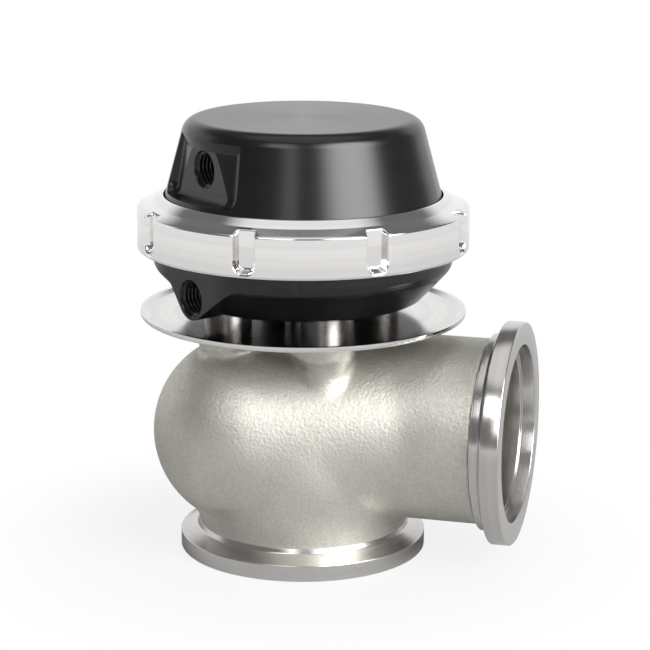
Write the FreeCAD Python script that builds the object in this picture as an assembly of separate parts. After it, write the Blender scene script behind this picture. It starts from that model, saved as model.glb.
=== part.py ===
import FreeCAD
import Part
import math
import os

# A spring-return exhaust bypass valve: a cast body with an inlet flange below and an outlet
# flange to the side, and a diaphragm actuator that stands on four spacers above a heat shield.
# Millimetres. The origin is the centre of the inlet face, +Z runs up the valve stem and +X
# runs out of the outlet.

V = FreeCAD.Vector
UP = V(0, 0, 1)
ORIGIN = V(0, 0, 0)

# Inlet flange and cast neck
INLET_RIM_R = 27.5
INLET_RIM_T = 3.6
RIM_TAPER = math.radians(20)
RIM_ROOT = 0.4
NECK_R = 23.3
NECK_WALL = 2.4
NECK_TOP_Z = 16.0

# Outlet tube and flange
OUTLET_Z = 29.3
OUTLET_FACE_X = 49.2
OUTLET_TUBE_R = 20.5
OUTLET_WALL = 2.7
OUTLET_RIM_R = 24.57
OUTLET_RIM_T = 3.9
OUTLET_COLLAR_R = 21.7
OUTLET_COLLAR_L = 1.6
OUTLET_GROOVE = 0.5
OUTLET_GROOVE_DEPTH = 0.4
REGISTER_R = 19.6
REGISTER_DEPTH = 3.0

# Cast chamber: a bulb over the valve and two lobes that lead round it into the outlet tube
BULB_R = 27.4
BULB_DROP = 4.1
LOBE_R = 21.6
LOBE_BACK = 9.6
LOBE_SIDE = 8.6
LOBE_DROP = 1.1
LOBE_TIP_R = 19.4
LOBE_TIP_X = 25.0
LOBE_TIP_SIDE = 1.0
WALL = 3.0

# Deck of the casting, with the four pillars, the walls between them and the valve guide's boss
DECK_Z = 53.3
DECK_BLOCK_DEPTH = 18.0
PILLAR_R = 5.4
PILLAR_WEB_IN = 1.0
PILLAR_DEPTH = 15.0
GUIDE_BOSS_R = 10.5
GUIDE_BOSS_DEPTH = 20.3
THREAD_DEPTH = 11.0

# Bolt pattern, a rectangle turned a little from the outlet axis
BOLT_CIRCLE_R = 18.8
BOLT_HALF_ANGLE = 37.2
BOLT_TURN = -7.5
BOLT_R = 2.5
BOLT_TIP_GAP = 1.0
BOLT_POINT = 0.5
BOLT_HEAD_R = 4.25
BOLT_HEAD_H = 2.4
BOLT_HEAD_CHAMFER = 0.4
BOLT_SOCKET_AF = 3.0
BOLT_SOCKET_DEPTH = 1.44
WASHER_R = 4.9
WASHER_T = 0.5
HOLE_CLEARANCE = 0.25

# Valve, seat and guide
SEAT_BORE_R = 18.3
SEAT_FLANGE_R = 24.4
SEAT_FLANGE_T = 3.0
SEAT_TOP_Z = 6.0
SEAT_WIDTH = 1.4
HEAD_RIM = 1.7
HEAD_EDGE = 1.0
HEAD_BACK_RISE = 0.9
HEAD_NECK_RISE = 6.5
STEM_R = 4.0
STEM_TIP_R = 3.0
STEM_TIP_SPARE = 1.0
STEM_CHAMFER = 0.5
GUIDE_R = 7.0
GUIDE_REACH = 6.0
GUIDE_TOP_GAP = 0.3
RUNNING_FIT = 0.04
STEM_CLEARANCE = 0.6
SEAT_GAP = 0.3
SLIP = 0.1

# Heat shield
SHIELD_R = 36.0
SHIELD_T = 0.6
SHIELD_LIP_W = 0.9
SHIELD_LIP_H = 0.6
SHIELD_EDGE_ROUND = 0.7
SHIELD_DISH_R = 1.2
SHIELD_HOLE_R = 8.2

# Spacers
SPACER_R = 5.2
SPACER_H = 3.4

# Actuator body: its outside radius carries the thread, the ring and the cap
BODY_R = 33.0
THREAD_STAND = 0.5
BODY_WALL = 3.6
BODY_FLOOR_T = 3.2
BODY_BAND_RISE = 7.6
BODY_BAND_ROUND = 4.0
BODY_TUCK = 6.6
BODY_FOOT_CHAMFER = 1.0
CHAMBER_FLOOR_IN = 2.4
CHAMBER_STRAIGHT = 3.6
GLAND_R = 8.6
GLAND_H = 2.4
GLAND_BORE_R = 6.5
GLAND_LIP = 1.0
BUSH_H = 2.4
SEAL_H = 1.2
RETAINER_H = 0.8

# Diaphragm and the stack on the stem
STROKE = 9.5
PLATE_CLEARANCE = 0.4
PLATE_IN = 1.1
PLATE_T = 1.4
DIAPHRAGM_T = 1.0
DIAPHRAGM_EDGE_IN = 0.6
ROLL_WIDTH = 8.8
PISTON_BASE_T = 1.5
PISTON_SKIRT_H = 3.2
PISTON_SKIRT_T = 1.3
PISTON_CHAMFER = 0.6
NUT_AF = 10.0
NUT_H = 4.0
NUT_CHAMFER = 0.5
STEM_WASHER_R = 6.4
STEM_WASHER_T = 0.8

# Cap
CAP_FLANGE_GAP = 0.3
CAP_FLANGE_T = 3.0
CAP_TAPER = math.radians(15)
CAP_RISE = 17.26
CAP_EDGE_IN = 2.68
CAP_ROOF_T = 3.6
CAP_MOUTH_WALL = 6.4
CAP_MOUTH_H = 4.6
CAP_MOUTH_TAPER = 3.0
CAP_SHOULDER_RISE = 2.0
CAP_CAVITY_R = 19.5
CAP_CAVITY_CHAMFER = 1.0
CAP_SPRING_BOSS_R = 6.2
CAP_SPRING_BOSS_H = 1.6

# Locking ring
RING_WALL = 2.95
RING_CROWN_W = 5.95
RING_LIP_T = 1.14
RING_LAND_DROP = 2.24
RING_BAND_H = 8.9
RING_BULGE = 0.8
RING_STEP = 0.25
RING_CHAMFER = 0.5
NOTCHES = 8
NOTCH_W = 4.3
NOTCH_DEPTH = 2.1
NOTCH_FOOT = 1.2
NOTCH_CORNER_R = 1.5
NOTCH_TURN = -4.0

# Pressure ports
PORT_R = 3.8
PORT_LENGTH = 5.6
PORT_MOUTH_CHAMFER = 0.35
PORT_DRILL_R = 1.5
CAP_PORT_TURN = -130.0
CAP_PORT_RISE = 8.06
CAP_FLAT_CUT = 2.74
POCKET_HALF_ANGLE = 27.5
POCKET_ROOF = 2.7
POCKET_COVE_H = 2.3
POCKET_CUT = 1.22
POCKET_TAPER = math.radians(8)
POCKET_CORNER_R = 2.6
POCKET_FLOOR_HALF_W = 9.4
POCKET_FOOT_RISE = 1.4
POCKET_FOOT_R = 2.0
BODY_PORT_TURN = -126.6
BODY_PORT_RISE = 3.4
BODY_FLAT_CUT = 2.7
BODY_FLAT_HALF_W = 8.3
BODY_FLAT_BLEND_R = 20.0
BODY_FLAT_SWEEP = math.radians(60)
BODY_BOSS_R = 4.7
BOSS_NEAR_FLANK = math.radians(56)
BOSS_FAR_FLANK = math.radians(38)
BOSS_BLEND = 3.0

# Springs: mean radius, wire radius and turns
OUTER_SPRING = (15.4, 1.35, 4.5)
INNER_SPRING = (10.2, 1.0, 6.0)

# Radii that follow from the sizes above
NECK_BORE_R = NECK_R - NECK_WALL
OUTLET_BORE_R = OUTLET_TUBE_R - OUTLET_WALL
BODY_THREAD_R = BODY_R + THREAD_STAND
BODY_BOTTOM_R = BODY_R - BODY_TUCK
BODY_FLAT_DISTANCE = BODY_R - BODY_FLAT_CUT
CHAMBER_R = BODY_R - BODY_WALL
CHAMBER_FLOOR_R = BODY_BOTTOM_R - CHAMBER_FLOOR_IN
PISTON_R = CHAMBER_R - ROLL_WIDTH
PLATE_R = PISTON_R - PLATE_IN
DIAPHRAGM_DISC_R = PISTON_R + DIAPHRAGM_T
CAP_FLANGE_R = BODY_THREAD_R - CAP_FLANGE_GAP
CAP_MOUTH_R = CAP_FLANGE_R - CAP_MOUTH_WALL
RING_R = BODY_THREAD_R + RING_WALL
RING_TOP_R = RING_R - RING_CROWN_W

# Levels that follow from the sizes above
BULB_Z = OUTLET_Z - BULB_DROP
LOBE_Z = OUTLET_Z - LOBE_DROP
GUIDE_BOSS_Z = DECK_Z - GUIDE_BOSS_DEPTH
SHIELD_TOP_Z = DECK_Z + SHIELD_T
BODY_BOTTOM_Z = SHIELD_TOP_Z + SPACER_H
BODY_BAND_Z = BODY_BOTTOM_Z + BODY_BAND_RISE
BODY_PORT_Z = BODY_BOTTOM_Z + BODY_PORT_RISE
FLOOR_Z = BODY_BOTTOM_Z + BODY_FLOOR_T
BOLT_HEAD_Z = FLOOR_Z + WASHER_T
PLATE_Z = BOLT_HEAD_Z + BOLT_HEAD_H + PLATE_CLEARANCE
DIAPHRAGM_Z = PLATE_Z + PLATE_T
PISTON_Z = DIAPHRAGM_Z + DIAPHRAGM_T
SPRING_SEAT_Z = PISTON_Z + PISTON_BASE_T
NUT_Z = SPRING_SEAT_Z + STEM_WASHER_T
BODY_RIM_Z = DIAPHRAGM_Z + STROKE
CAP_FOOT_Z = BODY_RIM_Z + DIAPHRAGM_T
RING_LIP_Z = CAP_FOOT_Z + CAP_FLANGE_T
RING_TOP_Z = RING_LIP_Z + RING_LIP_T
RING_LAND_Z = RING_TOP_Z - RING_LAND_DROP
RING_FOOT_Z = RING_LAND_Z - RING_BAND_H
CAP_TOP_Z = RING_TOP_Z + CAP_RISE
CAP_ROOF_Z = CAP_TOP_Z - CAP_ROOF_T
CAP_PORT_Z = RING_TOP_Z + CAP_PORT_RISE
POCKET_TOP_Z = CAP_TOP_Z - POCKET_ROOF


def cap_side_r(z):
    """Radius of the tapered side of the cap at height z; it passes just inside the ring."""
    return RING_TOP_R - SLIP - (z - RING_TOP_Z) * math.tan(CAP_TAPER)


CAP_FLAT_DISTANCE = cap_side_r(CAP_PORT_Z) - CAP_FLAT_CUT


def turned(start, *steps):
    """A solid turned about Z from a closed outline of (r, z) points.

    A step of four numbers is an arc: a point on the way, then the end point.
    """
    edges = []
    here = V(start[0], 0, start[1])
    for step in steps + (start,):
        there = V(step[-2], 0, step[-1])
        if len(step) == 4:
            edges.append(Part.Arc(here, V(step[0], 0, step[1]), there).toShape())
        else:
            edges.append(Part.LineSegment(here, there).toShape())
        here = there
    face = Part.Face(Part.Wire(edges))
    return face.revolve(ORIGIN, UP, 360)


def ring(outer_r, inner_r, z0, z1):
    outer = Part.makeCylinder(outer_r, z1 - z0, V(0, 0, z0))
    return outer.cut(Part.makeCylinder(inner_r, z1 - z0, V(0, 0, z0)))


def to_azimuth(shape, degrees):
    turned_copy = shape.copy()
    turned_copy.rotate(ORIGIN, UP, degrees)
    return turned_copy


def hexagon(across_flats, z0, height):
    radius = across_flats / math.sqrt(3)
    corners = [V(radius * math.cos(math.radians(a)), radius * math.sin(math.radians(a)), z0)
               for a in range(0, 361, 60)]
    return Part.Face(Part.makePolygon(corners)).extrude(V(0, 0, height))


def bolt_places():
    """The four bolt centres as (x, y)."""
    places = []
    for middle in (-90.0, 90.0):
        for side in (1, -1):
            a = math.radians(middle + BOLT_TURN + side * BOLT_HALF_ANGLE)
            places.append((BOLT_CIRCLE_R * math.cos(a), BOLT_CIRCLE_R * math.sin(a)))
    return places


def at_bolts(shape):
    """One copy of a shape made on the Z axis at each bolt centre."""
    copies = []
    for x, y in bolt_places():
        copy = shape.copy()
        copy.translate(V(x, y, 0))
        copies.append(copy)
    return copies


def horn(big_centre, big_r, small_centre, small_r):
    """Two spheres joined by the cone that touches both."""
    axis = small_centre - big_centre
    reach = axis.Length
    axis.normalize()
    lean = math.asin((big_r - small_r) / reach)
    big_end = big_centre + axis * (big_r * math.sin(lean))
    small_end = small_centre + axis * (small_r * math.sin(lean))
    cone = Part.makeCone(big_r * math.cos(lean), small_r * math.cos(lean),
                         (small_end - big_end).Length, big_end, axis)
    big = Part.makeSphere(big_r, big_centre)
    small = Part.makeSphere(small_r, small_centre)
    return big.fuse([cone, small])


def lobes(inset):
    """The bulb and the two chamber lobes, drawn in by the inset."""
    shapes = [Part.makeSphere(BULB_R - inset, V(0, 0, BULB_Z))]
    for side in (-1, 1):
        root = V(-LOBE_BACK, side * LOBE_SIDE, LOBE_Z)
        tip = V(LOBE_TIP_X, side * LOBE_TIP_SIDE, OUTLET_Z)
        shapes.append(horn(root, LOBE_R - inset, tip, LOBE_TIP_R - inset))
    return shapes[0].fuse(shapes[1:])


def outlet_bar(radius, x0, x1):
    return Part.makeCylinder(radius, x1 - x0, V(x0, 0, OUTLET_Z), V(1, 0, 0))


def taper_width(rise):
    """Width of a rim's clamp taper that rises by so much in radius."""
    return rise * math.tan(RIM_TAPER)


def inlet_flange():
    taper_top = INLET_RIM_T + taper_width(INLET_RIM_R - NECK_R - RIM_ROOT)
    return turned((0, 0), (INLET_RIM_R, 0), (INLET_RIM_R, INLET_RIM_T),
                  (NECK_R + RIM_ROOT, taper_top), (NECK_R, taper_top + RIM_ROOT),
                  (NECK_R, NECK_TOP_Z), (0, NECK_TOP_Z))


def outlet_flange():
    back = OUTLET_FACE_X - OUTLET_RIM_T
    collar = back - taper_width(OUTLET_RIM_R - OUTLET_COLLAR_R)
    groove = collar - OUTLET_COLLAR_L
    groove_r = OUTLET_TUBE_R - OUTLET_GROOVE_DEPTH
    tube_end = groove - OUTLET_GROOVE
    root = tube_end - OUTLET_WALL
    flange = turned((0, root), (groove_r, root), (groove_r, groove), (OUTLET_COLLAR_R, groove),
                    (OUTLET_COLLAR_R, collar), (OUTLET_RIM_R, back),
                    (OUTLET_RIM_R, OUTLET_FACE_X), (0, OUTLET_FACE_X))
    flange.rotate(ORIGIN, V(0, 1, 0), 90)
    flange.translate(V(0, 0, OUTLET_Z))
    return flange.fuse(outlet_bar(OUTLET_TUBE_R, 0, tube_end))


def pillars():
    """Round pillars that taper down into the corners of the block between them."""
    cone = Part.makeCone(PILLAR_R - PILLAR_WEB_IN, PILLAR_R, PILLAR_DEPTH, V(0, 0, DECK_Z - PILLAR_DEPTH))
    return at_bolts(cone)


def deck_block():
    """The upright walls that join the pillars, a little inside their outer sides."""
    corners = [V(x, y, DECK_Z - DECK_BLOCK_DEPTH) for x, y in bolt_places()]
    outline = Part.Wire(Part.makePolygon(corners + corners[:1]))
    grown = outline.makeOffset2D(PILLAR_R - PILLAR_WEB_IN)
    return Part.Face(grown).extrude(V(0, 0, DECK_BLOCK_DEPTH))


def chamber():
    """The gas space of the casting, from the seat to the outlet face."""
    space = lobes(WALL)
    space = space.fuse(outlet_bar(OUTLET_BORE_R, 0, OUTLET_FACE_X))
    space = space.fuse(Part.makeCylinder(NECK_BORE_R, 2 * BULB_R, V(0, 0, BULB_Z - 2 * BULB_R)))
    boss = Part.makeCylinder(GUIDE_BOSS_R, GUIDE_BOSS_DEPTH, V(0, 0, GUIDE_BOSS_Z))
    return space.cut(boss)


def valve_body():
    body = lobes(0).fuse([inlet_flange(), outlet_flange(), deck_block()] + pillars())
    body = body.cut(chamber())
    body = body.cut(outlet_bar(REGISTER_R, OUTLET_FACE_X - REGISTER_DEPTH, OUTLET_FACE_X))
    body = body.cut(Part.makeCylinder(SEAT_FLANGE_R + SLIP, SEAT_FLANGE_T, ORIGIN))
    body = body.cut(Part.makeCylinder(GUIDE_R, GUIDE_BOSS_DEPTH + WALL, V(0, 0, GUIDE_BOSS_Z - WALL)))
    thread = Part.makeCylinder(BOLT_R, THREAD_DEPTH, V(0, 0, DECK_Z - THREAD_DEPTH))
    for hole in at_bolts(thread):
        body = body.cut(hole)
    return body.removeSplitter()


def valve_seat():
    return turned((SEAT_BORE_R, 0), (SEAT_FLANGE_R, 0), (SEAT_FLANGE_R, SEAT_FLANGE_T),
                  (NECK_BORE_R - SLIP, SEAT_FLANGE_T), (NECK_BORE_R - SLIP, SEAT_TOP_Z),
                  (SEAT_BORE_R + SEAT_WIDTH, SEAT_TOP_Z), (SEAT_BORE_R, SEAT_TOP_Z - SEAT_WIDTH))


def valve():
    """Head and stem in one piece; the seat face stands a little off the seat's chamfer."""
    foot_r = SEAT_BORE_R - SEAT_GAP
    foot_z = SEAT_TOP_Z - SEAT_WIDTH
    head_r = SEAT_BORE_R + HEAD_RIM
    rim_z = foot_z + (head_r - foot_r) + SEAT_GAP
    head_top = rim_z + HEAD_EDGE
    back_z = head_top + HEAD_BACK_RISE
    neck_z = head_top + HEAD_NECK_RISE
    sweep = neck_z - back_z
    lean = math.sqrt(0.5)
    tip = NUT_Z + NUT_H + STEM_TIP_SPARE
    return turned((0, foot_z), (foot_r - 2 * SEAT_GAP, foot_z), (foot_r, foot_z + SEAT_GAP),
                  (head_r, rim_z), (head_r, head_top), (STEM_R + sweep, back_z),
                  (STEM_R + sweep * (1 - lean), neck_z - sweep * lean, STEM_R, neck_z),
                  (STEM_R, PLATE_Z), (STEM_TIP_R, PLATE_Z), (STEM_TIP_R, tip - STEM_CHAMFER),
                  (STEM_TIP_R - STEM_CHAMFER, tip), (0, tip))


def valve_guide():
    return ring(GUIDE_R, STEM_R + RUNNING_FIT, GUIDE_BOSS_Z - GUIDE_REACH, DECK_Z - GUIDE_TOP_GAP)


def heat_shield():
    lip_foot = SHIELD_R - SHIELD_LIP_W - SHIELD_DISH_R
    round_r = SHIELD_EDGE_ROUND
    mid = round_r * (1 - math.sqrt(0.5))
    shield = turned((0, DECK_Z), (SHIELD_R - round_r, DECK_Z),
                    (SHIELD_R - mid, DECK_Z + mid, SHIELD_R, DECK_Z + round_r),
                    (SHIELD_R, SHIELD_TOP_Z + SHIELD_LIP_H),
                    (SHIELD_R - SHIELD_LIP_W, SHIELD_TOP_Z + SHIELD_LIP_H),
                    (lip_foot, SHIELD_TOP_Z), (0, SHIELD_TOP_Z))
    shield = shield.cut(Part.makeCylinder(SHIELD_HOLE_R, SHIELD_T, V(0, 0, DECK_Z)))
    hole = Part.makeCylinder(BOLT_R + HOLE_CLEARANCE, SHIELD_T, V(0, 0, DECK_Z))
    return shield.cut(at_bolts(hole))


def spacers():
    return at_bolts(ring(SPACER_R, BOLT_R + HOLE_CLEARANCE, SHIELD_TOP_Z, BODY_BOTTOM_Z))


def mounting_bolts():
    foot = DECK_Z - THREAD_DEPTH + BOLT_TIP_GAP
    top = BOLT_HEAD_Z + BOLT_HEAD_H
    bolt = turned((0, foot), (BOLT_R - BOLT_POINT, foot), (BOLT_R, foot + BOLT_POINT), (BOLT_R, BOLT_HEAD_Z),
                  (BOLT_HEAD_R, BOLT_HEAD_Z), (BOLT_HEAD_R, top - BOLT_HEAD_CHAMFER),
                  (BOLT_HEAD_R - BOLT_HEAD_CHAMFER, top), (0, top))
    bolt = bolt.cut(hexagon(BOLT_SOCKET_AF, top - BOLT_SOCKET_DEPTH, BOLT_SOCKET_DEPTH))
    return Part.makeCompound(at_bolts(bolt))


def bolt_washers():
    washer = ring(WASHER_R, BOLT_R + HOLE_CLEARANCE, FLOOR_Z, FLOOR_Z + WASHER_T)
    return Part.makeCompound(at_bolts(washer))


def port_cutter(distance, z, drill_to, drill_z):
    """A threaded port that opens at a flat so far from the axis, and its inner drilling."""
    inner = distance - PORT_LENGTH
    bore = Part.makeCylinder(PORT_R, 2 * PORT_LENGTH, V(inner, 0, z), V(1, 0, 0))
    mouth = Part.makeCone(PORT_R, PORT_R + PORT_MOUTH_CHAMFER, PORT_MOUTH_CHAMFER,
                          V(distance - PORT_MOUTH_CHAMFER, 0, z), V(1, 0, 0))
    start = drill_to - PORT_DRILL_R
    drilling = Part.makeCylinder(PORT_DRILL_R, inner - start + PORT_DRILL_R,
                                 V(start, 0, drill_z), V(1, 0, 0))
    return bore.fuse([mouth, drilling])


def round_corner(before, corner, after, tangent):
    """Start, middle and end of an arc that rounds a corner, so far along from it each way."""
    back = before - corner
    ahead = after - corner
    back.normalize()
    ahead.normalize()
    half = back.getAngle(ahead) / 2
    radius = tangent * math.tan(half)
    inward = back + ahead
    inward.normalize()
    middle = corner + inward * (radius / math.sin(half) - radius)
    return corner + back * tangent, middle, corner + ahead * tangent


def body_boss():
    """The rounded boss of the lower port; its flanks widen up to the band and blend into it."""
    r = BODY_BOSS_R
    x0 = CHAMBER_FLOOR_R
    top_z = BODY_BAND_Z + BODY_BAND_ROUND / 2
    edges = []
    ends = []
    for side, slope in ((1, BOSS_NEAR_FLANK), (-1, BOSS_FAR_FLANK)):
        touch = V(x0, side * r * math.cos(slope), BODY_PORT_Z - r * math.sin(slope))
        corner = V(x0, touch.y + side * (BODY_BAND_Z - touch.z) * math.tan(slope), BODY_BAND_Z)
        beyond = corner + V(0, side * BODY_R, 0)
        first, middle, last = round_corner(touch, corner, beyond, BOSS_BLEND)
        top = V(x0, last.y + side * 2 * BODY_BAND_ROUND, top_z)
        edges += [Part.LineSegment(touch, first).toShape(), Part.Arc(first, middle, last).toShape(),
                  Part.LineSegment(last, top).toShape()]
        ends.append((touch, top))
    edges.append(Part.Arc(ends[0][0], V(x0, 0, BODY_PORT_Z - r), ends[1][0]).toShape())
    edges.append(Part.LineSegment(ends[0][1], ends[1][1]).toShape())
    boss = Part.Face(Part.Wire(Part.__sortEdges__(edges))).extrude(V(BODY_R, 0, 0))
    return boss.common(Part.makeCylinder(BODY_R, top_z, ORIGIN))


def body_outside():
    foot = V(BODY_BOTTOM_R, 0, BODY_BOTTOM_Z + BODY_FOOT_CHAMFER / 2)
    corner = V(BODY_R, 0, BODY_BAND_Z)
    first, middle, last = round_corner(foot, corner, V(BODY_R, 0, BODY_RIM_Z),
                                       BODY_BAND_ROUND * math.tan(math.atan2(BODY_TUCK, BODY_BAND_RISE) / 2))
    return turned((0, BODY_BOTTOM_Z), (BODY_BOTTOM_R - BODY_FOOT_CHAMFER, BODY_BOTTOM_Z), (foot.x, foot.z),
                  (first.x, first.z), (middle.x, middle.z, last.x, last.z),
                  (BODY_R, RING_FOOT_Z + RING_CHAMFER), (BODY_THREAD_R, RING_FOOT_Z + 2 * RING_CHAMFER),
                  (BODY_THREAD_R, BODY_RIM_Z), (0, BODY_RIM_Z))


def body_flat():
    """What is cut away at the lower port: a flat whose sides curve into the round band."""
    far = 2 * BODY_R
    centre_x = BODY_FLAT_DISTANCE - BODY_FLAT_BLEND_R
    edges = []
    for side in (1, -1):
        centre_y = side * BODY_FLAT_HALF_W
        points = []
        for share in (0, 0.5, 1):
            a = side * share * BODY_FLAT_SWEEP
            points.append(V(centre_x + BODY_FLAT_BLEND_R * math.cos(a),
                            centre_y + BODY_FLAT_BLEND_R * math.sin(a), 0))
        edges.append(Part.Arc(*points).toShape())
        edges.append(Part.LineSegment(points[2], V(far, points[2].y, 0)).toShape())
    edges.append(Part.LineSegment(edges[0].Vertexes[0].Point, edges[2].Vertexes[0].Point).toShape())
    edges.append(Part.LineSegment(edges[1].Vertexes[1].Point, edges[3].Vertexes[1].Point).toShape())
    outline = Part.Wire(Part.__sortEdges__(edges))
    return Part.Face(outline).extrude(V(0, 0, RING_FOOT_Z + RING_CHAMFER))


def actuator_body():
    outside = body_outside().fuse(to_azimuth(body_boss(), BODY_PORT_TURN))
    outside = outside.cut(to_azimuth(body_flat(), BODY_PORT_TURN))
    cone_top = FLOOR_Z + CHAMBER_STRAIGHT + CHAMBER_R - CHAMBER_FLOOR_R
    room = turned((0, FLOOR_Z), (CHAMBER_FLOOR_R, FLOOR_Z), (CHAMBER_FLOOR_R, FLOOR_Z + CHAMBER_STRAIGHT),
                  (CHAMBER_R, cone_top), (CHAMBER_R, BODY_RIM_Z), (0, BODY_RIM_Z))
    room = room.cut(Part.makeCylinder(GLAND_R, GLAND_H, V(0, 0, FLOOR_Z)))
    body = outside.cut(room)
    gland_z = BODY_BOTTOM_Z + GLAND_LIP
    body = body.cut(Part.makeCylinder(GLAND_BORE_R, BODY_FLOOR_T + GLAND_H, V(0, 0, gland_z)))
    body = body.cut(Part.makeCylinder(STEM_R + STEM_CLEARANCE, BODY_FLOOR_T, V(0, 0, BODY_BOTTOM_Z)))
    port = port_cutter(BODY_FLAT_DISTANCE, BODY_PORT_Z, CHAMBER_FLOOR_R, FLOOR_Z + PORT_DRILL_R + SLIP)
    body = body.cut(to_azimuth(port, BODY_PORT_TURN))
    hole = Part.makeCylinder(BOLT_R + HOLE_CLEARANCE, BODY_FLOOR_T, V(0, 0, BODY_BOTTOM_Z))
    return body.cut(at_bolts(hole)).removeSplitter()


def stem_bush():
    base = BODY_BOTTOM_Z + GLAND_LIP
    return ring(GLAND_BORE_R - SLIP / 2, STEM_R + RUNNING_FIT, base, base + BUSH_H)


def stem_seal():
    base = BODY_BOTTOM_Z + GLAND_LIP + BUSH_H
    return ring(GLAND_BORE_R - SLIP / 2, STEM_R + RUNNING_FIT, base, base + SEAL_H)


def seal_retainer():
    base = BODY_BOTTOM_Z + GLAND_LIP + BUSH_H + SEAL_H
    return ring(GLAND_BORE_R - SLIP / 2, STEM_R + STEM_CLEARANCE, base, base + RETAINER_H)


def clamp_plate():
    return ring(PLATE_R, STEM_TIP_R + RUNNING_FIT, PLATE_Z, DIAPHRAGM_Z)


def diaphragm():
    """A disc on the piston, a rolling wall and a flat edge held under the cap."""
    wall_top = CHAMBER_R - DIAPHRAGM_EDGE_IN
    return turned((STEM_TIP_R + RUNNING_FIT, DIAPHRAGM_Z), (DIAPHRAGM_DISC_R, DIAPHRAGM_Z),
                  (wall_top, BODY_RIM_Z), (CAP_FLANGE_R, BODY_RIM_Z), (CAP_FLANGE_R, CAP_FOOT_Z),
                  (wall_top - DIAPHRAGM_T, CAP_FOOT_Z), (DIAPHRAGM_DISC_R - DIAPHRAGM_T / 2, PISTON_Z),
                  (STEM_TIP_R + RUNNING_FIT, PISTON_Z))


def piston():
    top = PISTON_Z + PISTON_BASE_T + PISTON_SKIRT_H
    bore = STEM_TIP_R + RUNNING_FIT
    return turned((bore, PISTON_Z), (PISTON_R - PISTON_CHAMFER, PISTON_Z),
                  (PISTON_R, PISTON_Z + PISTON_CHAMFER), (PISTON_R, top), (PISTON_R - PISTON_SKIRT_T, top),
                  (PISTON_R - PISTON_SKIRT_T, SPRING_SEAT_Z), (bore, SPRING_SEAT_Z))


def stem_washer():
    return ring(STEM_WASHER_R, STEM_TIP_R + RUNNING_FIT, SPRING_SEAT_Z, NUT_Z)


def stem_nut():
    corner = NUT_AF / math.sqrt(3)
    top = NUT_Z + NUT_H
    blank = turned((0, NUT_Z), (corner - NUT_CHAMFER, NUT_Z), (corner, NUT_Z + NUT_CHAMFER),
                   (corner, top - NUT_CHAMFER), (corner - NUT_CHAMFER, top), (0, top))
    nut = hexagon(NUT_AF, NUT_Z, NUT_H).common(blank)
    return nut.cut(Part.makeCylinder(STEM_TIP_R, NUT_H, V(0, 0, NUT_Z)))


def spring(mean_r, wire_r, turns):
    """A round-wire compression spring from the piston to the cap's roof."""
    length = CAP_ROOF_Z - SPRING_SEAT_Z - 2 * wire_r - 2 * SLIP
    helix = Part.makeHelix(length / turns, length, mean_r)
    section = Part.Face(Part.Wire(Part.makeCircle(wire_r, V(mean_r, 0, 0), V(0, 1, 0))))
    coil = Part.Wire(helix).makePipe(section)
    coil.translate(V(0, 0, SPRING_SEAT_Z + wire_r + SLIP))
    return coil


def cap_pocket():
    """The milled recess round the cap's port: a tapered floor, upright ends and a flat."""
    foot_z = RING_TOP_Z + POCKET_FOOT_RISE
    cove_z = POCKET_TOP_Z - POCKET_COVE_H
    cove_r = cap_side_r(cove_z) - POCKET_CUT
    foot_r = cove_r + (cove_z - foot_z) * math.tan(POCKET_TAPER)
    far = 2 * BODY_R
    first, middle, last = round_corner(V(cove_r, 0, cove_z), V(foot_r, 0, foot_z), V(far, 0, foot_z),
                                       POCKET_FOOT_R)
    sweep = turned((cap_side_r(POCKET_TOP_Z), POCKET_TOP_Z), (cove_r, cove_z), (first.x, first.z),
                   (middle.x, middle.z, last.x, last.z), (far, foot_z), (far, POCKET_TOP_Z))
    half = math.radians(POCKET_HALF_ANGLE)
    side = 2 * far * math.tan(half)
    wedge_points = [ORIGIN, V(2 * far, -side, 0), V(2 * far, side, 0), ORIGIN]
    wedge = Part.Face(Part.makePolygon(wedge_points)).extrude(V(0, 0, CAP_TOP_Z))
    room = sweep.common(wedge)
    corners = [e for e in room.Edges
               if len(e.Vertexes) == 2 and abs(e.Vertexes[0].Z - e.Vertexes[1].Z) > POCKET_COVE_H
               and abs(e.Vertexes[0].Y) > SLIP and max(math.hypot(v.X, v.Y) for v in e.Vertexes) < BODY_R]
    room = room.makeFillet(POCKET_CORNER_R, corners)
    beyond = foot_r + 2 * POCKET_FOOT_R
    first, middle, last = round_corner(V(CAP_FLAT_DISTANCE, 0, cove_z), V(CAP_FLAT_DISTANCE, 0, foot_z),
                                       V(far, 0, foot_z), POCKET_FOOT_R)
    floor = [Part.LineSegment(V(CAP_FLAT_DISTANCE, 0, cove_z), first).toShape(),
             Part.Arc(first, middle, last).toShape(),
             Part.LineSegment(last, V(beyond, 0, foot_z)).toShape(),
             Part.LineSegment(V(beyond, 0, foot_z), V(beyond, 0, cove_z)).toShape(),
             Part.LineSegment(V(beyond, 0, cove_z), V(CAP_FLAT_DISTANCE, 0, cove_z)).toShape()]
    flat = Part.Face(Part.Wire(floor)).extrude(V(0, 2 * POCKET_FLOOR_HALF_W, 0))
    flat.translate(V(0, -POCKET_FLOOR_HALF_W, 0))
    return room.fuse(flat)


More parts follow.
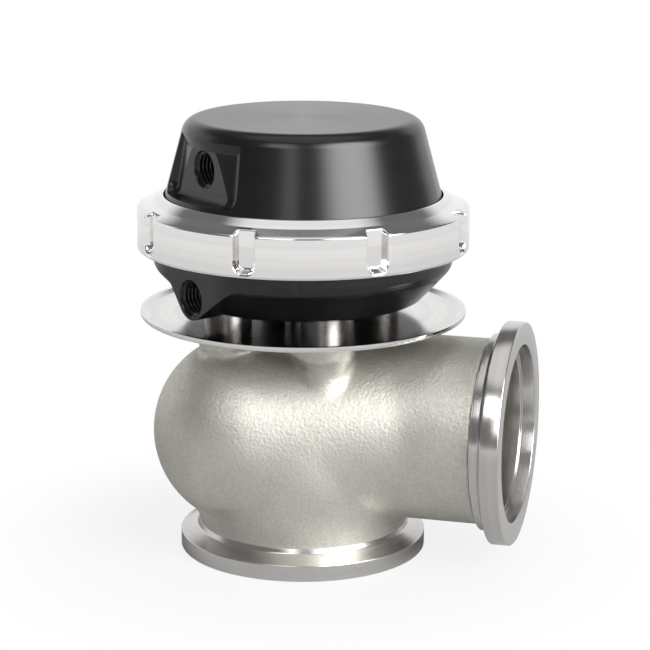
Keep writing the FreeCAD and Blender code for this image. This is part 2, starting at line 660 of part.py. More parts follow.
def cap():
    foot_r = cap_side_r(RING_LIP_Z)
    foot = V(foot_r, 0, RING_LIP_Z)
    corner = V(cap_side_r(CAP_TOP_Z), 0, CAP_TOP_Z)
    first, middle, last = round_corner(foot, corner, V(0, 0, CAP_TOP_Z), CAP_EDGE_IN)
    outside = turned((0, CAP_FOOT_Z), (CAP_FLANGE_R, CAP_FOOT_Z), (CAP_FLANGE_R, RING_LIP_Z),
                     (foot_r, RING_LIP_Z), (first.x, first.z), (middle.x, middle.z, last.x, last.z),
                     (0, CAP_TOP_Z))
    outside = outside.cut(to_azimuth(cap_pocket(), CAP_PORT_TURN))
    mouth_z = CAP_FOOT_Z + CAP_MOUTH_H
    inside = turned((0, CAP_FOOT_Z), (CAP_MOUTH_R, CAP_FOOT_Z), (CAP_MOUTH_R - CAP_MOUTH_TAPER, mouth_z),
                    (CAP_CAVITY_R, mouth_z + CAP_SHOULDER_RISE),
                    (CAP_CAVITY_R, CAP_ROOF_Z - CAP_CAVITY_CHAMFER),
                    (CAP_CAVITY_R - CAP_CAVITY_CHAMFER, CAP_ROOF_Z), (0, CAP_ROOF_Z))
    inside = inside.cut(Part.makeCylinder(CAP_SPRING_BOSS_R, CAP_SPRING_BOSS_H,
                                          V(0, 0, CAP_ROOF_Z - CAP_SPRING_BOSS_H)))
    port = port_cutter(CAP_FLAT_DISTANCE, CAP_PORT_Z, CAP_CAVITY_R, CAP_PORT_Z)
    return outside.cut(inside).cut(to_azimuth(port, CAP_PORT_TURN))


def locking_ring():
    step_r = RING_R - RING_STEP
    fall = V(step_r - RING_TOP_R, 0, RING_LAND_Z - RING_TOP_Z)
    bulge = V(-fall.z, 0, fall.x) * (RING_BULGE / fall.Length)
    middle_r = (step_r + RING_TOP_R) / 2 + bulge.x
    middle_z = (RING_LAND_Z + RING_TOP_Z) / 2 + bulge.z
    bore = BODY_THREAD_R + SLIP / 2
    lip_r = cap_side_r(RING_LIP_Z + RING_CHAMFER) + SLIP
    body = turned((bore + RING_CHAMFER, RING_FOOT_Z), (RING_R - RING_STEP, RING_FOOT_Z),
                  (RING_R, RING_FOOT_Z + RING_STEP), (RING_R, RING_LAND_Z - RING_STEP),
                  (step_r, RING_LAND_Z),
                  (middle_r, middle_z, RING_TOP_R, RING_TOP_Z),
                  (lip_r, RING_LIP_Z + RING_CHAMFER), (lip_r + RING_CHAMFER, RING_LIP_Z), (bore, RING_LIP_Z),
                  (bore, RING_FOOT_Z + RING_CHAMFER))
    notch_z = RING_FOOT_Z + NOTCH_FOOT
    slot = Part.makeBox(RING_R, NOTCH_W, RING_TOP_Z, V(RING_R - NOTCH_DEPTH, -NOTCH_W / 2, notch_z))
    corners = [e for e in slot.Edges
               if all(abs(v.Z - notch_z) < SLIP for v in e.Vertexes)
               and abs(e.Vertexes[0].X - e.Vertexes[1].X) > NOTCH_DEPTH]
    slot = slot.makeFillet(NOTCH_CORNER_R, corners)
    for number in range(NOTCHES):
        body = body.cut(to_azimuth(slot, NOTCH_TURN + number * 360 / NOTCHES))
    return body


def build():
    parts = {
        "valve_body": valve_body(),
        "valve_seat": valve_seat(),
        "valve": valve(),
        "valve_guide": valve_guide(),
        "heat_shield": heat_shield(),
        "mounting_bolts": mounting_bolts(),
        "bolt_washers": bolt_washers(),
        "actuator_body": actuator_body(),
        "stem_bush": stem_bush(),
        "stem_seal": stem_seal(),
        "seal_retainer": seal_retainer(),
        "clamp_plate": clamp_plate(),
        "diaphragm": diaphragm(),
        "piston": piston(),
        "stem_washer": stem_washer(),
        "stem_nut": stem_nut(),
        "outer_spring": spring(*OUTER_SPRING),
        "inner_spring": spring(*INNER_SPRING),
        "cap": cap(),
        "locking_ring": locking_ring(),
    }
    for number, spacer in enumerate(spacers(), 1):
        parts["spacer_%d" % number] = spacer
    return parts


os.makedirs("parts", exist_ok=True)
for name, shape in build().items():
    shape.exportStep("parts/%s.step" % name)
    print("%-16s solids %d valid %s volume %.1f" % (name, len(shape.Solids), shape.isValid(), shape.Volume))
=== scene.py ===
import math

import bpy
import numpy as np
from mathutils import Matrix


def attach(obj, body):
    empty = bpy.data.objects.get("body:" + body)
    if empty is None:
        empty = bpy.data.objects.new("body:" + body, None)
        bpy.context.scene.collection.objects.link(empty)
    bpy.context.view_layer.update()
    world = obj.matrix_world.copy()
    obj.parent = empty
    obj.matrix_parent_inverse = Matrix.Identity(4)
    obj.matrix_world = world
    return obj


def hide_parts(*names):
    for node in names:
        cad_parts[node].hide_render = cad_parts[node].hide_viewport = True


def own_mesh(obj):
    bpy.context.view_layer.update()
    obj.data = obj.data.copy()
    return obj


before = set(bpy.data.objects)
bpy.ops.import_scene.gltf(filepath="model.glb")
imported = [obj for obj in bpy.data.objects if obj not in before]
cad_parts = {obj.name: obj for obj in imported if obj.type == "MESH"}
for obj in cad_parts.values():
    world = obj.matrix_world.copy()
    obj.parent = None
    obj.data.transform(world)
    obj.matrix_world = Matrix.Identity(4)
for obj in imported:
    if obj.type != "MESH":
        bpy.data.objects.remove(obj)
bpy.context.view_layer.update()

import openvdb
from mathutils import Matrix, Vector

# Sizes are in millimetres in this script and become metres where a mesh is made.
MM = 0.001

# Camera, as solved from the circles of the photograph
CAMERA_AT = (137.3, -483.25, 175.95)
CAMERA_ALONG = (-0.264, 0.9645)
CAMERA_DOWN = math.radians(14.03)
CAMERA_ROLL = math.radians(0.237)
CAMERA_LENS = 129.05

# Casting
BULB = (0.0, 0.0, 25.2, 27.4)
LOBE_ROOT = (-9.6, 8.6, 28.2, 21.6)
LOBE_TIP = (25.0, 1.0, 29.3, 19.4)
TUBE_Z = 29.3
TUBE_R = 20.5
TUBE_END = 42.15
TUBE_BORE = 17.8
WALL = 3.0
NECK_R = 23.3
NECK_BORE = 20.9
NECK_FOOT = 4.6
DECK_Z = 53.3
BLOCK_FOOT = 34.0
BOLT_CIRCLE = 18.8
BOLT_HALF = math.radians(37.2)
BOLT_TURN = math.radians(-7.5)
PILLAR_R = 5.4
PILLAR_FOOT_R = 4.4
PILLAR_LENGTH = 15.0
PILLAR_FLARE = 5.5
WEB_IN = 1.5
PLATE_OUT = 4.4
PLATE_Z = 50.0
GUIDE_R = 7.0
GUIDE_BOSS_R = 10.5
GUIDE_BOSS_Z = 33.0
BOLT_R = 2.5

# The casting's distance field: the corners of its grid, and a cell's side
CASTING_LOW = (-34.0, -33.0, 2.0)
CASTING_HIGH = (45.0, 33.0, 56.0)
FINE_CELL = 0.5
SKIN_SOFTENED = 1.6
NECK_FILLET = 3.2
DECK_FILLET = 3.0
BLOCK_FILLET = 1.8
BOLT_DEPTH = 11

# Outlines as corners of (radius, place along the axis, rounding)
INLET_FLANGE = ((24.5, 0, 0.15), (27.5, 0, 0.25), (27.5, 3.6, 0.25), (23.75, 4.98, 0.5), (23.42, 6.1, 0.12),
                (22.9, 6.1, 0), (20.9, 6.1, 0), (20.9, 3.0, 0), (24.5, 3.0, 0))
OUTLET_FLANGE = ((20.1, 40.2, 0), (17.8, 40.2, 0), (17.8, 46.2, 0.15), (19.6, 46.2, 0.1), (19.6, 49.2, 0.2),
                 (24.57, 49.2, 0.3), (24.57, 45.3, 0.25), (21.7, 44.26, 0.25), (21.7, 42.66, 0.15),
                 (20.1, 42.66, 0.1))
DIAPHRAGM = ((3.04, 65.2, 0), (21.6, 65.2, 0.8), (28.8, 74.7, 0.5), (33.2, 74.7, 0), (33.2, 75.7, 0),
             (27.8, 75.7, 0.5), (21.1, 66.2, 0.5), (3.04, 66.2, 0))

# Locking ring
RING_R = 36.45
RING = ((33.55, 68.7, 0.3), (RING_R, 68.7, 0.35), (RING_R, 77.55, 0.45), (33.35, 78.95, 1.6),
        (30.6, 80.75, 0.35), (30.6, 79.2, 0.1), (31.1, 78.75, 0.1), (33.55, 78.75, 0))
RING_STEP = 0.35
NOTCH_STEP = 0.1
NOTCH_FINE_Z = 72
NOTCHES = 8
NOTCH_TURN = math.radians(-4)
NOTCH_HALF_W = 2.15
NOTCH_FLOOR_R = 34.35
NOTCH_FOOT_Z = 69.9
NOTCH_CORNER_R = 1.5
NOTCH_EDGE_W = 0.8

# Springs: mean radius, wire radius, turns; then the heights of their seats, and the stack's lift
SPRINGS = {"outer_spring": (15.4, 1.35, 4.5), "inner_spring": (10.2, 1.0, 6.0)}
SPRING_LOW = 67.7
SPRING_HIGH = 93.5
SPRING_GAP = 0.1
SPRING_STEPS = 28
WIRE_SIDES = 12

# Studio: cosines from the middle of each light to where it starts and is full, sines of heights, strengths
BACKDROP_EDGE = (0.24, 0.48)
BACKDROP_TOP = (0.42, 0.66)
ROOM_LOW = 0.22
ROOM_HIGH = 0.18
OVERHEAD = 1.0
SIDE_LIGHT = (46, 27)
SIDE_EDGE = (0.86, 0.975)
SIDE_STRENGTH = 10.5

# Lamps: name, bearing, elevation, width, height, power
SOFT_BOXES = (("box_front", -11, 25, 0.15, 0.36, 0.45), ("box_key", -24, 40, 0.30, 0.30, 1.0))
LAMP_DISTANCE = 0.85
LAMP_AIM = 0.05

# Floor: half its side, its colour, and from where to where it turns white to the eye and in metal
FLOOR_HALF = 3.0
FLOOR_GREY = 0.48
FLOOR_SEEN = (0.035, 0.085, 0.85, 1.0)
FLOOR_MIRRORED = (0.16, 0.50)

# Ports: azimuth, distance of the mouth from the axis, height
CAP_PORT = (math.radians(-130.0), 25.5, 87.9)
BODY_PORT = (math.radians(-126.6), 30.3, 60.7)
THREAD_PITCH = 0.94
THREAD_ROOT_R = 3.8
THREAD_CREST_R = 3.22
THREAD_LENGTH = 4.7
THREAD_START = 0.45
THREAD_STEPS = 40

# Colours
CAST_DARK = (0.530, 0.519, 0.474, 1)
CAST_LIGHT = (0.610, 0.598, 0.548, 1)
CAST_PEBBLE = (0.40, 0.388, 0.352, 1)
BLACK_DARK = (0.0034, 0.0034, 0.0037, 1)
BLACK_LIGHT = (0.0054, 0.0054, 0.0057, 1)
WIRE_DARK = (0.22, 0.22, 0.235, 1)
WIRE_LIGHT = (0.36, 0.36, 0.37, 1)
RUBBER_DARK = (0.13, 0.095, 0.08, 1)
RUBBER_LIGHT = (0.19, 0.145, 0.12, 1)
POLYMER_DARK = (0.76, 0.74, 0.70, 1)
POLYMER_LIGHT = (0.86, 0.84, 0.80, 1)
BRONZE = (0.70, 0.50, 0.28, 1)


def mesh_object(name, points, faces, crease=math.radians(32)):
    """An object from points in millimetres, smooth apart from its sharp edges."""
    mesh = bpy.data.meshes.new(name)
    mesh.from_pydata([(x * MM, y * MM, z * MM) for x, y, z in points], [], faces)
    mesh.validate()
    mesh.polygons.foreach_set("use_smooth", [True] * len(mesh.polygons))
    mesh.set_sharp_from_angle(angle=crease)
    obj = bpy.data.objects.new(name, mesh)
    bpy.context.scene.collection.objects.link(obj)
    return obj


def rounded(corners, steps=4):
    """A closed outline of (r, t, radius) corners with each corner rounded to its radius."""
    outline = []
    count = len(corners)
    for i, (r, t, radius) in enumerate(corners):
        here = Vector((r, t))
        if radius == 0:
            outline.append(here)
            continue
        back = (Vector(corners[i - 1][:2]) - here).normalized()
        ahead = (Vector(corners[(i + 1) % count][:2]) - here).normalized()
        half = back.angle(ahead) / 2
        centre = here + (back + ahead).normalized() * (radius / math.sin(half))
        first = here + back * (radius / math.tan(half)) - centre
        last = here + ahead * (radius / math.tan(half)) - centre
        sweep = first.angle_signed(last)
        for k in range(steps + 1):
            a = -sweep * k / steps
            outline.append(centre + Vector((first.x * math.cos(a) - first.y * math.sin(a),
                                            first.x * math.sin(a) + first.y * math.cos(a))))
    return outline


def around_z(r, t, a):
    return r * math.cos(a), r * math.sin(a), t


def around_tube(r, t, a):
    return t, r * math.cos(a), TUBE_Z + r * math.sin(a)


def turned(name, outline, place, sides=160):
    """A ring turned from a closed outline of (r, t) points."""
    count = len(outline)
    points = [place(p[0], p[1], 2 * math.pi * s / sides) for s in range(sides) for p in outline]
    faces = []
    for s in range(sides):
        a, b = s * count, (s + 1) % sides * count
        for i in range(count):
            j = (i + 1) % count
            faces.append((a + i, a + j, b + j, b + i))
    return mesh_object(name, points, faces)


def swept(name, frames, section, crease=math.radians(60)):
    """A closed section carried along frames of (centre, across, up) vectors, with flat ends."""
    count = len(section)
    points = [c + u * p[0] + v * p[1] for c, u, v in frames for p in section]
    faces = []
    for a in range(0, (len(frames) - 1) * count, count):
        b = a + count
        faces += [(a + i, a + (i + 1) % count, b + (i + 1) % count, b + i) for i in range(count)]
    faces.append(tuple(reversed(range(count))))
    faces.append(tuple((len(frames) - 1) * count + i for i in range(count)))
    return mesh_object(name, points, faces, crease)


def sphere(p, centre, radius):
    return np.sqrt(sum((a - c) ** 2 for a, c in zip(p, centre))) - radius


def round_cone(p, low, high, low_r, high_r):
    """Distance to two spheres and the cone that touches both."""
    span = np.subtract(high, low)
    length2 = float(span @ span)
    drop = low_r - high_r
    slant2 = length2 - drop * drop
    rel = [a - c for a, c in zip(p, low)]
    along = sum(a * s for a, s in zip(rel, span))
    past = along - length2
    off2 = sum((a * length2 - along * s) ** 2 for a, s in zip(rel, span))
    along2 = along * along * length2
    past2 = past * past * length2
    edge = np.sign(drop) * drop * drop * off2
    side = (np.sqrt(off2 * slant2 / length2) + along * drop) / length2 - low_r
    field = np.where(np.sign(along) * slant2 * along2 < edge, np.sqrt(off2 + along2) / length2 - low_r, side)
    return np.where(np.sign(past) * slant2 * past2 > edge, np.sqrt(off2 + past2) / length2 - high_r, field)


def rod(p, axis, radius, at=(0.0, 0.0)):
    """Distance to an endless round rod along an axis (0 for x, 2 for z)."""
    others = [a for i, a in enumerate(p) if i != axis]
    return np.sqrt((others[0] - at[0]) ** 2 + (others[1] - at[1]) ** 2) - radius


def filleted(a, b, radius):
    """Both shapes, with a round fillet where they meet."""
    u = np.maximum(radius - a, 0)
    v = np.maximum(radius - b, 0)
    return np.maximum(radius, np.minimum(a, b)) - np.sqrt(u * u + v * v)


def softened(field, width):
    """The field blurred by a bell curve so many cells wide."""
    reach = int(3 * width)
    weights = np.exp(-0.5 * (np.arange(-reach, reach + 1) / width) ** 2)
    weights /= weights.sum()
    for axis in range(3):
        pad = [(0, 0)] * 3
        pad[axis] = (reach, reach)
        wide = np.pad(field, pad, mode="reflect", reflect_type="odd")
        total = np.zeros_like(field)
        for k, w in enumerate(weights):
            part = [slice(None)] * 3
            part[axis] = slice(k, k + field.shape[axis])
            total += np.float32(w) * wide[tuple(part)]
        field = total
    return field


def chamber_forms(p, inset):
    field = sphere(p, BULB[:3], BULB[3] - inset)
    for side in (-1, 1):
        root = (LOBE_ROOT[0], side * LOBE_ROOT[1], LOBE_ROOT[2])
        tip = (LOBE_TIP[0], side * LOBE_TIP[1], LOBE_TIP[2])
        field = np.minimum(field, round_cone(p, root, tip, LOBE_ROOT[3] - inset, LOBE_TIP[3] - inset))
    return field


def bolt_places():
    places = []
    for middle in (-math.pi / 2, math.pi / 2):
        for side in (1, -1):
            a = middle + BOLT_TURN + side * BOLT_HALF
            places.append((BOLT_CIRCLE * math.cos(a), BOLT_CIRCLE * math.sin(a)))
    return places


def deck_block(p, out, foot):
    """A block with rounded corners, so far out from the square of bolts, from its foot up to the deck."""
    x = p[0] * math.cos(BOLT_TURN) + p[1] * math.sin(BOLT_TURN)
    y = p[1] * math.cos(BOLT_TURN) - p[0] * math.sin(BOLT_TURN)
    over_x = np.abs(x) - BOLT_CIRCLE * math.sin(BOLT_HALF)
    over_y = np.abs(y) - BOLT_CIRCLE * math.cos(BOLT_HALF)
    flat = np.sqrt(np.maximum(over_x, 0) ** 2 + np.maximum(over_y, 0) ** 2)
    flat = flat + np.minimum(np.maximum(over_x, over_y), 0) - out
    return np.maximum(flat, foot - p[2])


def casting_field(p, step):
    skin = np.minimum(chamber_forms(p, 0.0), np.maximum(rod(p, 0, TUBE_R, (0, TUBE_Z)), -p[0]))
    skin = softened(skin.astype(np.float32), SKIN_SOFTENED / step)
    neck = np.maximum(rod(p, 2, NECK_R), p[2] - BULB[2])
    skin = filleted(skin, neck, NECK_FILLET)
    deck = filleted(deck_block(p, -WEB_IN, BLOCK_FOOT), deck_block(p, PLATE_OUT, PLATE_Z), DECK_FILLET)
    for x, y in bolt_places():
        slope = (PILLAR_R - PILLAR_FOOT_R) / PILLAR_LENGTH
        pillar = rod(p, 2, PILLAR_R, (x, y)) + slope * (DECK_Z - p[2])
        deck = filleted(deck, np.maximum(pillar, BLOCK_FOOT - p[2]), PILLAR_FLARE)
    skin = filleted(skin, deck, BLOCK_FILLET)
    room = np.minimum(chamber_forms(p, WALL), np.maximum(rod(p, 0, TUBE_BORE, (0, TUBE_Z)), -p[0]))
    room = np.minimum(room, np.maximum(rod(p, 2, NECK_BORE), p[2] - BULB[2]))
    room = np.maximum(room, -np.maximum(rod(p, 2, GUIDE_BOSS_R), GUIDE_BOSS_Z - p[2]))
    field = np.maximum(skin, -room)
    field = np.maximum(field, -np.maximum(rod(p, 2, GUIDE_R), GUIDE_BOSS_Z - WALL - p[2]))
    for x, y in bolt_places():
        field = np.maximum(field, -np.maximum(rod(p, 2, BOLT_R, (x, y)), DECK_Z - BOLT_DEPTH - p[2]))
    for limit in (p[0] - TUBE_END, NECK_FOOT - p[2], p[2] - DECK_Z):
        field = np.maximum(field, limit)
    return field


def casting(name):
    step = FINE_CELL
    low = np.array(CASTING_LOW)
    p = np.meshgrid(*[np.arange(a, b, step, dtype=np.float32) for a, b in zip(low, CASTING_HIGH)],
                    indexing="ij", sparse=True)
    grid = openvdb.FloatGrid(3.0)
    grid.copyFromArray(np.clip(casting_field(p, step) / step, -3, 3).astype(np.float32))
    points, quads = grid.convertToQuads(0.0)
    return mesh_object(name, (points * step + low).tolist(), quads[:, ::-1].tolist(), math.radians(50))


def split(outline, step):
    """The outline with points added so that no side is longer than the step that is given for its middle."""
    points = []
    for a, b in zip(outline, outline[1:] + outline[:1]):
        count = max(1, math.ceil((b - a).length / step((a + b) / 2)))
        points += [a.lerp(b, k / count) for k in range(count)]
    return points


def notch_share(x, z):
    """How far a notch reaches at a place x across its middle and z up: 1 inside it, 0 outside."""
    across = abs(x) - NOTCH_HALF_W + NOTCH_CORNER_R
    drop = NOTCH_FOOT_Z + NOTCH_CORNER_R - z
    inside = min(max(across, drop), 0) + math.hypot(max(across, 0), max(drop, 0)) - NOTCH_CORNER_R
    share = min(max(0.5 - inside / NOTCH_EDGE_W, 0), 1)
    return share * share * (3 - 2 * share)


def locking_ring(name):
    """A ring with a coved crown, and notches milled down its side that stop above its foot."""
    def step(middle):
        return NOTCH_STEP if middle.x > RING_R - 0.1 and middle.y < NOTCH_FINE_Z else RING_STEP

    outline = split(rounded(RING), step)
    half = math.pi * RING_R / NOTCHES
    wall_in, wall_out = NOTCH_HALF_W - NOTCH_EDGE_W / 2, NOTCH_HALF_W + NOTCH_EDGE_W / 2
    offsets = [*np.linspace(-half, -wall_out, 14)[:-1], *np.linspace(-wall_out, -wall_in, 14)[:-1],
               *np.linspace(-wall_in, wall_in, 24)[:-1], *np.linspace(wall_in, wall_out, 14)[:-1],
               *np.linspace(wall_out, half, 14)[:-1]]
    points = []
    for k in range(NOTCHES):
        for x in offsets:
            turn = x / RING_R
            floor = NOTCH_FLOOR_R / math.cos(turn)
            for r, z in outline:
                if r > floor:
                    r -= (r - floor) * notch_share(x, z)
                points.append(around_z(r, z, NOTCH_TURN + turn + 2 * math.pi * k / NOTCHES))
    count, sides = len(outline), NOTCHES * len(offsets)
    faces = []
    for s in range(sides):
        a, b = s * count, (s + 1) % sides * count
        faces += [(a + i, a + (i + 1) % count, b + (i + 1) % count, b + i) for i in range(count)]
    return mesh_object(name, points, faces, math.radians(75))


def port_frame(port):
    a, distance, z = port
    out = Vector((math.cos(a), math.sin(a), 0))
    side = Vector((-math.sin(a), math.cos(a), 0))
    return out, side, Vector((0, 0, 1)), out * distance + Vector((0, 0, z))


def port_thread(name, port):
    """The helical ridge of a threaded port, from its mouth inwards."""
    out, side, up, mouth = port_frame(port)
    turns = THREAD_LENGTH / THREAD_PITCH
    count = int(turns * THREAD_STEPS)
    depth = THREAD_ROOT_R - THREAD_CREST_R
    wide = THREAD_PITCH * 0.44
    section = [(-0.05, -wide), (depth * 0.9, -0.06), (depth, 0), (depth * 0.9, 0.06), (-0.05, wide)]
    frames = []
    for k in range(count + 1):
        a = 2 * math.pi * turns * k / count
        inward = -(side * math.cos(a) + up * math.sin(a))
        centre = mouth - out * (THREAD_START + THREAD_LENGTH * k / count) - inward * THREAD_ROOT_R
        frames.append((centre, inward, out))
    return swept(name, frames, section)


def spring(name, mean_r, wire_r, turns):
    """A round-wire spring between its two seats."""
    length = SPRING_HIGH - SPRING_LOW - 2 * wire_r - 2 * SPRING_GAP
    count = int(turns * SPRING_STEPS)
    frames = []
    for k in range(count + 1):
        a = 2 * math.pi * turns * k / count
        out = Vector((math.cos(a), math.sin(a), 0))
        z = SPRING_LOW + wire_r + SPRING_GAP + length * k / count
        frames.append((out * mean_r + Vector((0, 0, z)), out, Vector((0, 0, 1))))
    angles = [2 * math.pi * i / WIRE_SIDES for i in range(WIRE_SIDES)]
    section = [(wire_r * math.cos(a), wire_r * math.sin(a)) for a in angles]
    return swept(name, frames, section)


class Nodes:
    """Short ways to add nodes to a tree."""

    def __init__(self, tree):
        self.tree = tree

    def add(self, kind, inputs=(), **settings):
        node = self.tree.nodes.new("ShaderNode" + kind)
        for key, value in settings.items():
            setattr(node, key, value)
        for key, value in dict(inputs).items():
            if isinstance(value, bpy.types.NodeSocket):
                self.tree.links.new(value, node.inputs[key])
            else:
                node.inputs[key].default_value = value
        return node

    def math(self, operation, a, b=0.0, c=0.0):
        return self.add("Math", {0: a, 1: b, 2: c}, operation=operation).outputs[0]

    def xyz(self, vector):
        return self.add("SeparateXYZ", {0: vector}).outputs

    def vector(self, x, y, z):
        return self.add("CombineXYZ", {0: x, 1: y, 2: z}).outputs[0]

    def noise(self, vector, scale, detail=2.0, roughness=0.5):
        return self.add("TexNoise", {"Vector": vector, "Scale": scale, "Detail": detail,
                                     "Roughness": roughness}).outputs["Fac"]

    def ramp(self, value, low, high, low_out=0.0, high_out=1.0, smooth=True):
        node = self.add("MapRange", {"Value": value, "From Min": low, "From Max": high, "To Min": low_out,
                                     "To Max": high_out})
        node.interpolation_type = "SMOOTHSTEP" if smooth else "LINEAR"
        return node.outputs["Result"]

    def mix(self, share, a, b):
        node = self.add("Mix", data_type="RGBA")
        for index, value in ((0, share), (6, a), (7, b)):
            if isinstance(value, bpy.types.NodeSocket):
                self.tree.links.new(value, node.inputs[index])
            else:
                node.inputs[index].default_value = value
        return node.outputs[2]

    def bump(self, height, distance, strength=1.0, under=None):
        inputs = {"Height": height, "Distance": distance, "Strength": strength}
        if under is not None:
            inputs["Normal"] = under
        return self.add("Bump", inputs).outputs["Normal"]

    def dot(self, vector, direction):
        return self.add("VectorMath", {0: vector, 1: direction}, operation="DOT_PRODUCT").outputs["Value"]

    def seen(self):
        """Two switches: the ray comes from the camera, or it comes by way of metal or glass."""
        paths = self.add("LightPath").outputs
        glossy = self.math("MAXIMUM", paths["Is Glossy Ray"], paths["Is Transmission Ray"])
        return paths["Is Camera Ray"], glossy

    def either(self, share, a, b):
        node = self.add("MixShader", {0: share})
        self.tree.links.new(a, node.inputs[1])
        self.tree.links.new(b, node.inputs[2])
        return node.outputs[0]


class Surface(Nodes):
    """A material with a Principled shader."""

    def __init__(self, name, **constants):
        self.material = bpy.data.materials.new(name)
        self.material.use_nodes = True
        super().__init__(self.material.node_tree)
        self.shader = self.tree.nodes["Principled BSDF"]
        for key, value in constants.items():
            self.shader.inputs[key.replace("_", " ")].default_value = value
        self.coords = self.add("TexCoord").outputs["Object"]

    def set(self, key, socket):
        self.tree.links.new(socket, self.shader.inputs[key])

    def turned_coords(self, axis="z", at=(0.0, 0.0, 0.0)):
        """(distance from the axis, 0, distance along it): what a lathe's marks follow."""
        x, y, z = self.xyz(self.add("VectorMath", {0: self.coords, 1: at}, operation="SUBTRACT").outputs[0])
        if axis == "x":
            x, z = z, x
        r = self.math("SQRT", self.math("ADD", self.math("MULTIPLY", x, x), self.math("MULTIPLY", y, y)))
        return self.vector(r, 0.0, z)


def grey(value, warm=0.0):
    return value * (1 + warm), value, value * (1 - warm), 1.0


def cast_steel():
    s = Surface("cast_blasted_steel", Metallic=1.0, Roughness=0.5)
    pebble = s.noise(s.coords, 1500.0, 3.0, 0.55)
    cells = s.add("TexVoronoi", {"Vector": s.coords, "Scale": 1900.0}, feature="SMOOTH_F1")
    swell = s.noise(s.coords, 130.0, 2.0, 0.5)
    patch = s.noise(s.coords, 45.0, 3.0, 0.6)
    tone = s.mix(s.ramp(patch, 0.35, 0.68), CAST_DARK, CAST_LIGHT)
    fine = s.mix(s.ramp(pebble, 0.35, 0.65, 0.0, 0.30), tone, CAST_PEBBLE)
    s.set("Base Color", fine)
    s.set("Roughness", s.ramp(pebble, 0.3, 0.7, 0.46, 0.58))
    low = s.bump(swell, 0.00025, 0.5)
    mid = s.bump(cells.outputs["Distance"], 0.00010, 0.35, low)
    s.set("Normal", s.bump(pebble, 0.00016, 0.55, mid))
    return s.material


def turned_metal(name, color, roughness, marks, axis="z", at=(0, 0, 0), pitch=5200.0, spread=0.25, aniso=0.4):
    """Metal off a lathe: fine rings in height and gloss about its axis."""
    s = Surface(name, Metallic=1.0, Anisotropic=aniso)
    around = s.turned_coords(axis, at)
    rings = s.noise(around, pitch, 2.0, 0.7)
    bands = s.noise(around, 420.0, 2.0, 0.5)
    smear = s.noise(s.coords, 60.0, 2.0, 0.5)
    s.set("Base Color", s.mix(s.ramp(bands, 0.35, 0.65, 0.0, 1.0), color,
                              tuple(c * 0.90 for c in color[:3]) + (1.0,)))
    rough = s.math("MULTIPLY_ADD", rings, roughness * spread, roughness * (1 - spread / 2))
    under = s.math("SUBTRACT", rough, roughness * 0.15)
    s.set("Roughness", s.math("MULTIPLY_ADD", smear, roughness * 0.3, under))
    s.set("Normal", s.bump(rings, 0.00002, marks))
    s.set("Tangent", s.add("Tangent", direction_type="RADIAL", axis="X" if axis == "x" else "Z").outputs[0])
    return s.material


def anodised():
    s = Surface("black_anodised", Metallic=0.0, IOR=1.46, Anisotropic=0.3)
    around = s.turned_coords()
    rings = s.noise(around, 3600.0, 3.0, 0.75)
    bands = s.noise(around, 300.0, 2.0, 0.5)
    grain = s.noise(s.coords, 6500.0, 2.0, 0.6)
    s.set("Base Color", s.mix(s.ramp(bands, 0.3, 0.7), BLACK_DARK, BLACK_LIGHT))
    s.set("Roughness", s.math("MULTIPLY_ADD", grain, 0.12, 0.17))
    under = s.bump(rings, 0.00003, 0.35)
    s.set("Normal", s.bump(grain, 0.00002, 0.25, under))
    s.set("Tangent", s.add("Tangent", direction_type="RADIAL", axis="Z").outputs[0])
    return s.material


def spring_steel():
    s = Surface("spring_wire", Metallic=1.0)
    marks = s.noise(s.coords, 900.0, 3.0, 0.6)
    s.set("Base Color", s.mix(marks, WIRE_DARK, WIRE_LIGHT))
    s.set("Roughness", s.ramp(marks, 0.3, 0.7, 0.3, 0.45))
    s.set("Normal", s.bump(marks, 0.00004, 0.4))
    return s.material


def rubber():
    s = Surface("reinforced_rubber", Specular_IOR_Level=0.4)
    x, y = s.xyz(s.coords)[:2]
    weave = s.math("MULTIPLY", s.math("SINE", s.math("MULTIPLY", x, 9000.0)),
                   s.math("SINE", s.math("MULTIPLY", y, 9000.0)))
    mottle = s.noise(s.coords, 250.0, 3.0, 0.6)
    s.set("Base Color", s.mix(mottle, RUBBER_DARK, RUBBER_LIGHT))
    s.set("Roughness", s.ramp(mottle, 0.3, 0.7, 0.5, 0.65))
    s.set("Normal", s.bump(weave, 0.00005, 0.5))
    return s.material


def polymer():
    s = Surface("seal_polymer", Specular_IOR_Level=0.45)
    mottle = s.noise(s.coords, 700.0, 3.0, 0.6)
    s.set("Base Color", s.mix(mottle, POLYMER_DARK, POLYMER_LIGHT))
    s.set("Roughness", s.ramp(mottle, 0.3, 0.7, 0.3, 0.42))
    s.set("Normal", s.bump(mottle, 0.00002, 0.3))
    return s.material


def paint(obj, material):
    obj.data.materials.clear()
    obj.data.materials.append(material)


def place(obj, material, slot, body="housing", replaced=()):
    paint(obj, material)
    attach(obj, body)
    if replaced:
        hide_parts(*replaced)
    return obj


